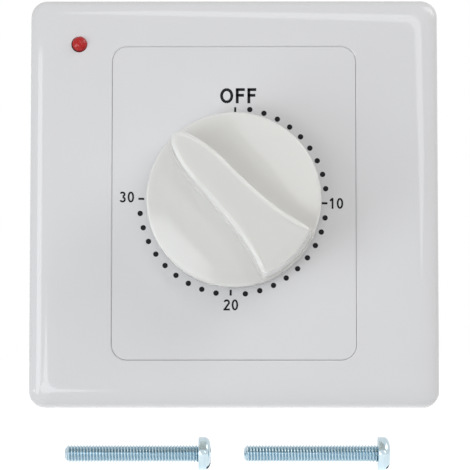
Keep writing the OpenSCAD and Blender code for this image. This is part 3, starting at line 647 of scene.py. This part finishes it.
def knob_rings():
    """Rings over the grip and the dome, down the side and up inside to the bore."""
    rings, foot = grip_rings(grip_outline())
    rims = [max(knob_r - rim_round, p.length + least_rim) for p in foot]
    for share in (0.25, 0.5, 0.75, 1):
        plan = [p.lerp(p.normalized() * rim, share) for p, rim in zip(foot, rims)]
        rings.append([turned(p, dome_z(min(p.length, knob_r - rim_round))) for p in plan])
    ways = [p.normalized() for p in foot]
    for a in quarter(5)[1:]:
        rings.append([
            turned(way * (rim + (knob_r - rim) * math.sin(a)),
                   knob_rim - (knob_r - rim) * (1 - math.cos(a)))
            for way, rim in zip(ways, rims)
        ])
    ceiling = knob_rim - knob_wall
    inner_r = knob_r - knob_wall
    for r, z in (
        (knob_r + knob_draft, knob_foot + foot_round), (knob_r + knob_draft - foot_round, knob_foot),
        (inner_r, knob_foot), (inner_r, ceiling), (hub_r, ceiling + knob_dome / 2),
        (hub_r, hub_foot), (bore_r, hub_foot), (bore_r, bore_top), (0, bore_top),
    ):
        rings.append([turned(way * r, z) for way in ways])
    return rings


def knob():
    rings = knob_rings()
    piece = add_loft("knob_body", rings, "knob_shaft", knob_plastic, smooth_under=50)
    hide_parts("knob")


# Printed scale on the dial plate
def print_plate(name, outlines):
    """Thin printed shapes on the dial plate, from their closed outlines."""
    points, faces = [], []
    low, high = rise - print_sunk, rise + print_proud
    for outline in outlines:
        start, n = len(points), len(outline)
        points += [(x, y, low) for x, y in outline] + [(x, y, high) for x, y in outline]
        faces.append(tuple(start + n + i for i in range(n)))
        faces.append(tuple(start + i for i in reversed(range(n))))
        faces += [
            (start + i, start + (i + 1) % n, start + n + (i + 1) % n, start + n + i)
            for i in range(n)
        ]
    return add_piece(name, points, faces, "base", ink)


def scale_way(angle):
    """Direction from the scale's middle, clockwise from its top."""
    return Vector((math.sin(angle + print_turn), math.cos(angle + print_turn)))


def scale_place(r, angle):
    """A place on the scale, clockwise from its top."""
    return print_at + r * scale_way(angle)


def minute_dots():
    outlines = []
    for quarter_turn in range(3):
        for i in range(1, dots_between + 1):
            at = scale_place(print_r, math.pi / 2 * (quarter_turn + i / (dots_between + 1)))
            outlines.append([(x, y) for x, y, _ in circle(dot_d / 2, 0, dot_sides, at)])
    print_plate("minute_dots", outlines)


def minute_ticks():
    outlines = []
    for quarter_turn in range(4):
        angle = math.pi / 2 * quarter_turn
        along = scale_way(angle)
        across = Vector((along.y, -along.x)) * tick_w / 2
        ends = scale_place(tick_r - tick_l / 2, angle), scale_place(tick_r + tick_l / 2, angle)
        outlines.append([tuple(ends[0] - across), tuple(ends[0] + across),
                         tuple(ends[1] + across), tuple(ends[1] - across)])
    print_plate("minute_ticks", outlines)


def stroke(path, width):
    """Outline of a line of the given width along a path."""
    path = [Vector(p) for p in path]
    left, right = [], []
    for i, p in enumerate(path):
        before = (p - path[i - 1]).normalized() if i else None
        after = (path[i + 1] - p).normalized() if i < len(path) - 1 else None
        along = ((before or after) + (after or before)).normalized()
        reach = width / 2 / max(least_mitre, along.dot(after or before))
        side = Vector((-along.y, along.x)) * reach
        left.append(tuple(p + side))
        right.append(tuple(p - side))
    return left + right[::-1]


def arc(middle, rx, ry, start, end, steps=14):
    """Points along part of an ellipse, in degrees from +x."""
    turns = [math.radians(start + (end - start) * i / steps) for i in range(steps + 1)]
    return [(middle[0] + rx * math.cos(a), middle[1] + ry * math.sin(a)) for a in turns]


def oval_halves(w, h, width):
    """The two halves of a standing oval."""
    rx, ry = (w - width) / 2, (h - width) / 2
    return [arc((w / 2, h / 2), rx, ry, start, start + 180, steps=20) for start in (-90, 90)]


def glyph(sign, w, h, width):
    """Lines of one sign in a box from the origin, as paths along their middles."""
    edge = width / 2
    if sign in "0O":
        return oval_halves(w, h, width)
    if sign == "F":
        bar, bar_end = h * 0.53, w * 0.9
        return [[(edge, 0), (edge, h)], [(0, h - edge), (w, h - edge)], [(0, bar), (bar_end, bar)]]
    if sign == "1":
        stem, flag = w * 0.62, (w * 0.22, h * 0.74)
        return [[(stem, 0), (stem, h)], [(stem, h - edge), flag]]
    if sign == "2":
        bowl = arc((w / 2, h * 0.72), w / 2 - edge, h * 0.28 - edge, 165, -35)
        return [bowl + [(edge * 1.2, edge)], [(0, edge), (w, edge)]]
    upper = arc((w * 0.48, h * 0.75), w * 0.46 - edge, h * 0.25 - edge, 160, -90)
    lower = arc((w * 0.48, h * 0.28), w * 0.5 - edge, h * 0.28 - edge, 90, -160)
    return [upper, lower]


def print_word(name, word, widths, h, gap, width, at):
    """A word centred on a place of the scale."""
    total = sum(widths) + gap * (len(word) - 1)
    x, y = at[0] - total / 2, at[1] - h / 2
    outlines = []
    for sign, w in zip(word, widths):
        for path in glyph(sign, w, h, width):
            outlines.append([(x + px, y + py) for px, py in stroke(path, width)])
        x += w + gap
    print_plate(name, outlines)


def printed_scale():
    minute_dots()
    minute_ticks()
    place = print_at + Vector(word_at)
    print_word("word_off", "OFF", word_widths, word_h, word_gap, word_stroke, place)
    for number, at in number_at.items():
        place = print_at + Vector(at)
        widths = (number_w, number_w)
        print_word("number_" + number, number, widths, number_h, number_gap, number_stroke, place)


# Lens
def indicator_lens(sides=48):
    """Round lens with a flange behind the cover."""
    dome = lens_high.z - rise
    flange_r = (lens_high.x - lens_low.x) / 2
    profile = [(lens_r * math.sin(a), rise + dome * math.cos(a)) for a in quarter(10)]
    profile += [(lens_r, lens_seat), (flange_r, lens_seat), (flange_r, lens_low.z), (0, lens_low.z)]
    rings = [circle(r, z, sides, lens_at) for r, z in profile]
    piece = add_loft("lens_dome", rings, "cover", MATERIALS["red_lens"])
    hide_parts("indicator_lens")


# Loose screws
def thread_height(turn):
    """Height of the thread, from root to crest, at a share of its pitch."""
    flank = abs(turn % 1 - 0.5) * 2
    return max(0.0, min(1.0, (flank - thread_flat) / (1 - 2 * thread_flat)))


def screw_rings(tip_x, sides=32):
    """Rings along a screw, from its tip to the top of its head."""
    angles = [2 * math.pi * i / sides for i in range(sides)]

    def ring(x, radii):
        return [
            (tip_x + x, screw_y + r * math.cos(a), screw_z + r * math.sin(a))
            for r, a in zip(radii, angles)
        ]

    rings = [ring(0, [0] * sides)]
    steps = int(screw_l / thread_pitch * thread_steps)
    for k in range(steps + 1):
        x = screw_l * k / steps
        top = min(thread_r, tip_r + x * tip_slope)
        rings.append(ring(x, [
            min(top, thread_r - thread_depth * (1 - thread_height(x / thread_pitch - a / (2 * math.pi))))
            for a in angles
        ]))
    head = [(screw_head_r - head_edge, 0), (screw_head_r, head_edge), (screw_head_r, head_side)]
    for i in range(1, head_steps + 1):
        share = i / head_steps
        r = screw_head_r * (1 - share ** head_power) ** (1 / head_power) if share < 1 else 0
        head.append((r, head_side + (screw_head_h - head_side) * share))
    rings += [ring(screw_l + x, [r] * sides) for r, x in head]
    return rings


def recess(name, end, deep, across, along):
    """Box for a cut in a screw's head, turned about the screw."""
    points = [
        (i, screw_y + j * math.cos(slot_turn) - k * math.sin(slot_turn),
         screw_z + j * math.sin(slot_turn) + k * math.cos(slot_turn))
        for i in (end - deep, end + recess_over) for j in (-across, across) for k in (-along, along)
    ]
    faces = [(0, 1, 3, 2), (4, 6, 7, 5), (0, 4, 5, 1), (2, 3, 7, 6), (0, 2, 6, 4), (1, 5, 7, 3)]
    return add_object(name, wall_mesh(name, points, faces))


def loose_screws():
    """Two threaded screws with a slot and a cross in their heads."""
    for side, tip_x in zip(("left", "right"), screw_tips):
        rings = screw_rings(tip_x)
        piece = add_loft("screw_" + side, rings, "base", MATERIALS["zinc"], smooth_under=50)
        end = tip_x + screw_l + screw_head_h
        cut(piece, recess("slot", end, slot_deep, slot_half, screw_head_r + recess_over))
        cut(piece, recess("cross", end, cross_deep, cross_half, slot_half))
        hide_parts("mounting_screws")


# Finish of the CAD nodes that stay
def soften(node, width):
    """Rounds a node's edges a little."""
    weld = node.modifiers.new("weld", "WELD")
    weld.merge_threshold = WELD_GAP
    bevel = node.modifiers.new("soften", "BEVEL")
    bevel.width = width * MM
    bevel.segments = 2
    bevel.limit_method = "ANGLE"
    bevel.angle_limit = soft_from


def dress_nodes():
    """Gives each CAD node its slot's material, and softens the large ones."""
    slots = {part["node"]: part["material_slot"] for part in frame["record"]["subparts"]}
    for name, node in frame["nodes"].items():
        node.data.materials.clear()
        node.data.materials.append(MATERIALS[slots[name]])
    for name, width in soft_edges.items():
        soften(frame["nodes"][name], width)


# Stage
def light_path_share(nodes, links):
    """1 where the camera, a mirror or clear plastic looks at the background."""
    path = nodes.new("ShaderNodeLightPath")
    share = path.outputs["Is Camera Ray"]
    for ray in ("Is Glossy Ray", "Is Transmission Ray"):
        either = nodes.new("ShaderNodeMath")
        either.operation = "MAXIMUM"
        links.new(share, either.inputs[0])
        links.new(path.outputs[ray], either.inputs[1])
        share = either.outputs["Value"]
    return share


def studio_world(ambient):
    """White surroundings that light the object with a weaker, slightly warm light."""
    world = bpy.data.worlds.new("studio")
    bpy.context.scene.world = world
    world.use_nodes = True
    nodes, links = world.node_tree.nodes, world.node_tree.links
    nodes.clear()
    output = nodes.new("ShaderNodeOutputWorld")
    soft = nodes.new("ShaderNodeBackground")
    soft.inputs["Color"].default_value = (1, 0.99, 0.97, 1)
    soft.inputs["Strength"].default_value = ambient
    white = nodes.new("ShaderNodeBackground")
    white.inputs["Color"].default_value = (1, 1, 1, 1)
    white.inputs["Strength"].default_value = 1
    mix = nodes.new("ShaderNodeMixShader")
    links.new(light_path_share(nodes, links), mix.inputs["Fac"])
    links.new(soft.outputs["Background"], mix.inputs[1])
    links.new(white.outputs["Background"], mix.inputs[2])
    links.new(mix.outputs["Shader"], output.inputs["Surface"])


def floor_material(shown, bounce):
    """Pale floor that throws light back and looks white, with the object's shadow on it."""
    material = bpy.data.materials.new("floor")
    material.use_nodes = True
    nodes, links = material.node_tree.nodes, material.node_tree.links
    nodes.clear()
    output = nodes.new("ShaderNodeOutputMaterial")
    diffuse = nodes.new("ShaderNodeBsdfDiffuse")
    diffuse.inputs["Color"].default_value = (0.55, 0.55, 0.55, 1)
    mix = nodes.new("ShaderNodeMixShader")
    links.new(light_path_share(nodes, links), mix.inputs["Fac"])
    for strength, socket in ((bounce, mix.inputs[1]), (shown, mix.inputs[2])):
        glow = nodes.new("ShaderNodeEmission")
        glow.inputs["Strength"].default_value = strength
        links.new(glow.outputs["Emission"], socket)
    both = nodes.new("ShaderNodeAddShader")
    links.new(diffuse.outputs["BSDF"], both.inputs[0])
    links.new(mix.outputs["Shader"], both.inputs[1])
    links.new(both.outputs["Shader"], output.inputs["Surface"])
    return material


def studio_floor():
    """Wide floor under the object, from a little in front of it; its reach and front are metres."""
    reach = 4.0
    front = -0.06
    low = cad_box[0].z
    mesh = bpy.data.meshes.new("floor")
    corners = [(-reach, front, low), (reach, front, low), (reach, reach, low), (-reach, reach, low)]
    mesh.from_pydata(corners, [], [(0, 1, 2, 3)])
    mesh.materials.append(floor_material(shown=0.9, bounce=0.08))
    floor = add_object("floor", mesh)
    floor.visible_shadow = False


def soft_light(name, azimuth, elevation, size, radiance, roll=0, color=(1, 1, 1)):
    """Soft box turned to the middle of the object; its place and size are degrees seen from there."""
    distance = 0.9
    lamp = bpy.data.lights.new(name, "AREA")
    lamp.shape = "RECTANGLE"
    lamp.size, lamp.size_y = (2 * distance * math.tan(math.radians(d / 2)) for d in size)
    lamp.energy = radiance * math.pi * lamp.size * lamp.size_y
    lamp.color = color
    across, up = math.radians(azimuth), math.radians(elevation)
    toward = Vector((math.sin(across) * math.cos(up), -math.cos(across) * math.cos(up), math.sin(up)))
    place = distance * toward
    turn = (-place).to_track_quat("-Z", "Y") @ Quaternion((0, 0, 1), math.radians(roll))
    light = add_object(name, lamp)
    light.location = place
    light.rotation_euler = turn.to_euler()


def photo_camera():
    """Camera in front, a little below the middle and looking up."""
    data = bpy.data.cameras.new("camera")
    data.sensor_width = camera_sensor
    data.lens = camera_focal
    camera = add_object("camera", data)
    camera.location = wall(*camera_at)
    camera.rotation_euler = (math.radians(90 + camera_pitch), 0, math.radians(camera_turn))
    bpy.context.scene.camera = camera


def studio_lights():
    """Cool soft boxes from the left and below, plain ones from the right, above and behind."""
    cool = (0.92, 0.965, 1)
    less_cool = (0.93, 0.97, 1)
    daylight = (0.98, 0.99, 1)
    soft_light("side", azimuth=-58, elevation=-21, size=(20, 26), radiance=4.3, color=cool)
    soft_light("fill", azimuth=50, elevation=38, size=(18, 30), radiance=2.5, roll=50)
    soft_light("rim", azimuth=76, elevation=36, size=(30, 30), radiance=2.0)
    soft_light("key", azimuth=-40, elevation=-7, size=(12, 36), radiance=2.9, color=less_cool)
    soft_light("low", azimuth=-20, elevation=-14.5, size=(15, 26), radiance=2.75, roll=40, color=cool)
    soft_light("window", azimuth=11, elevation=22, size=(9, 47), radiance=2.1, roll=39.4, color=daylight)
    soft_light("back", azimuth=170, elevation=-52, size=(50, 40), radiance=5.0)


bpy.context.scene.view_settings.view_transform = "Standard"
photo_camera()
studio_world(ambient=0.376)
studio_floor()
studio_lights()
dress_nodes()
cover_frame()
knob()
printed_scale()
indicator_lens()
loose_screws()
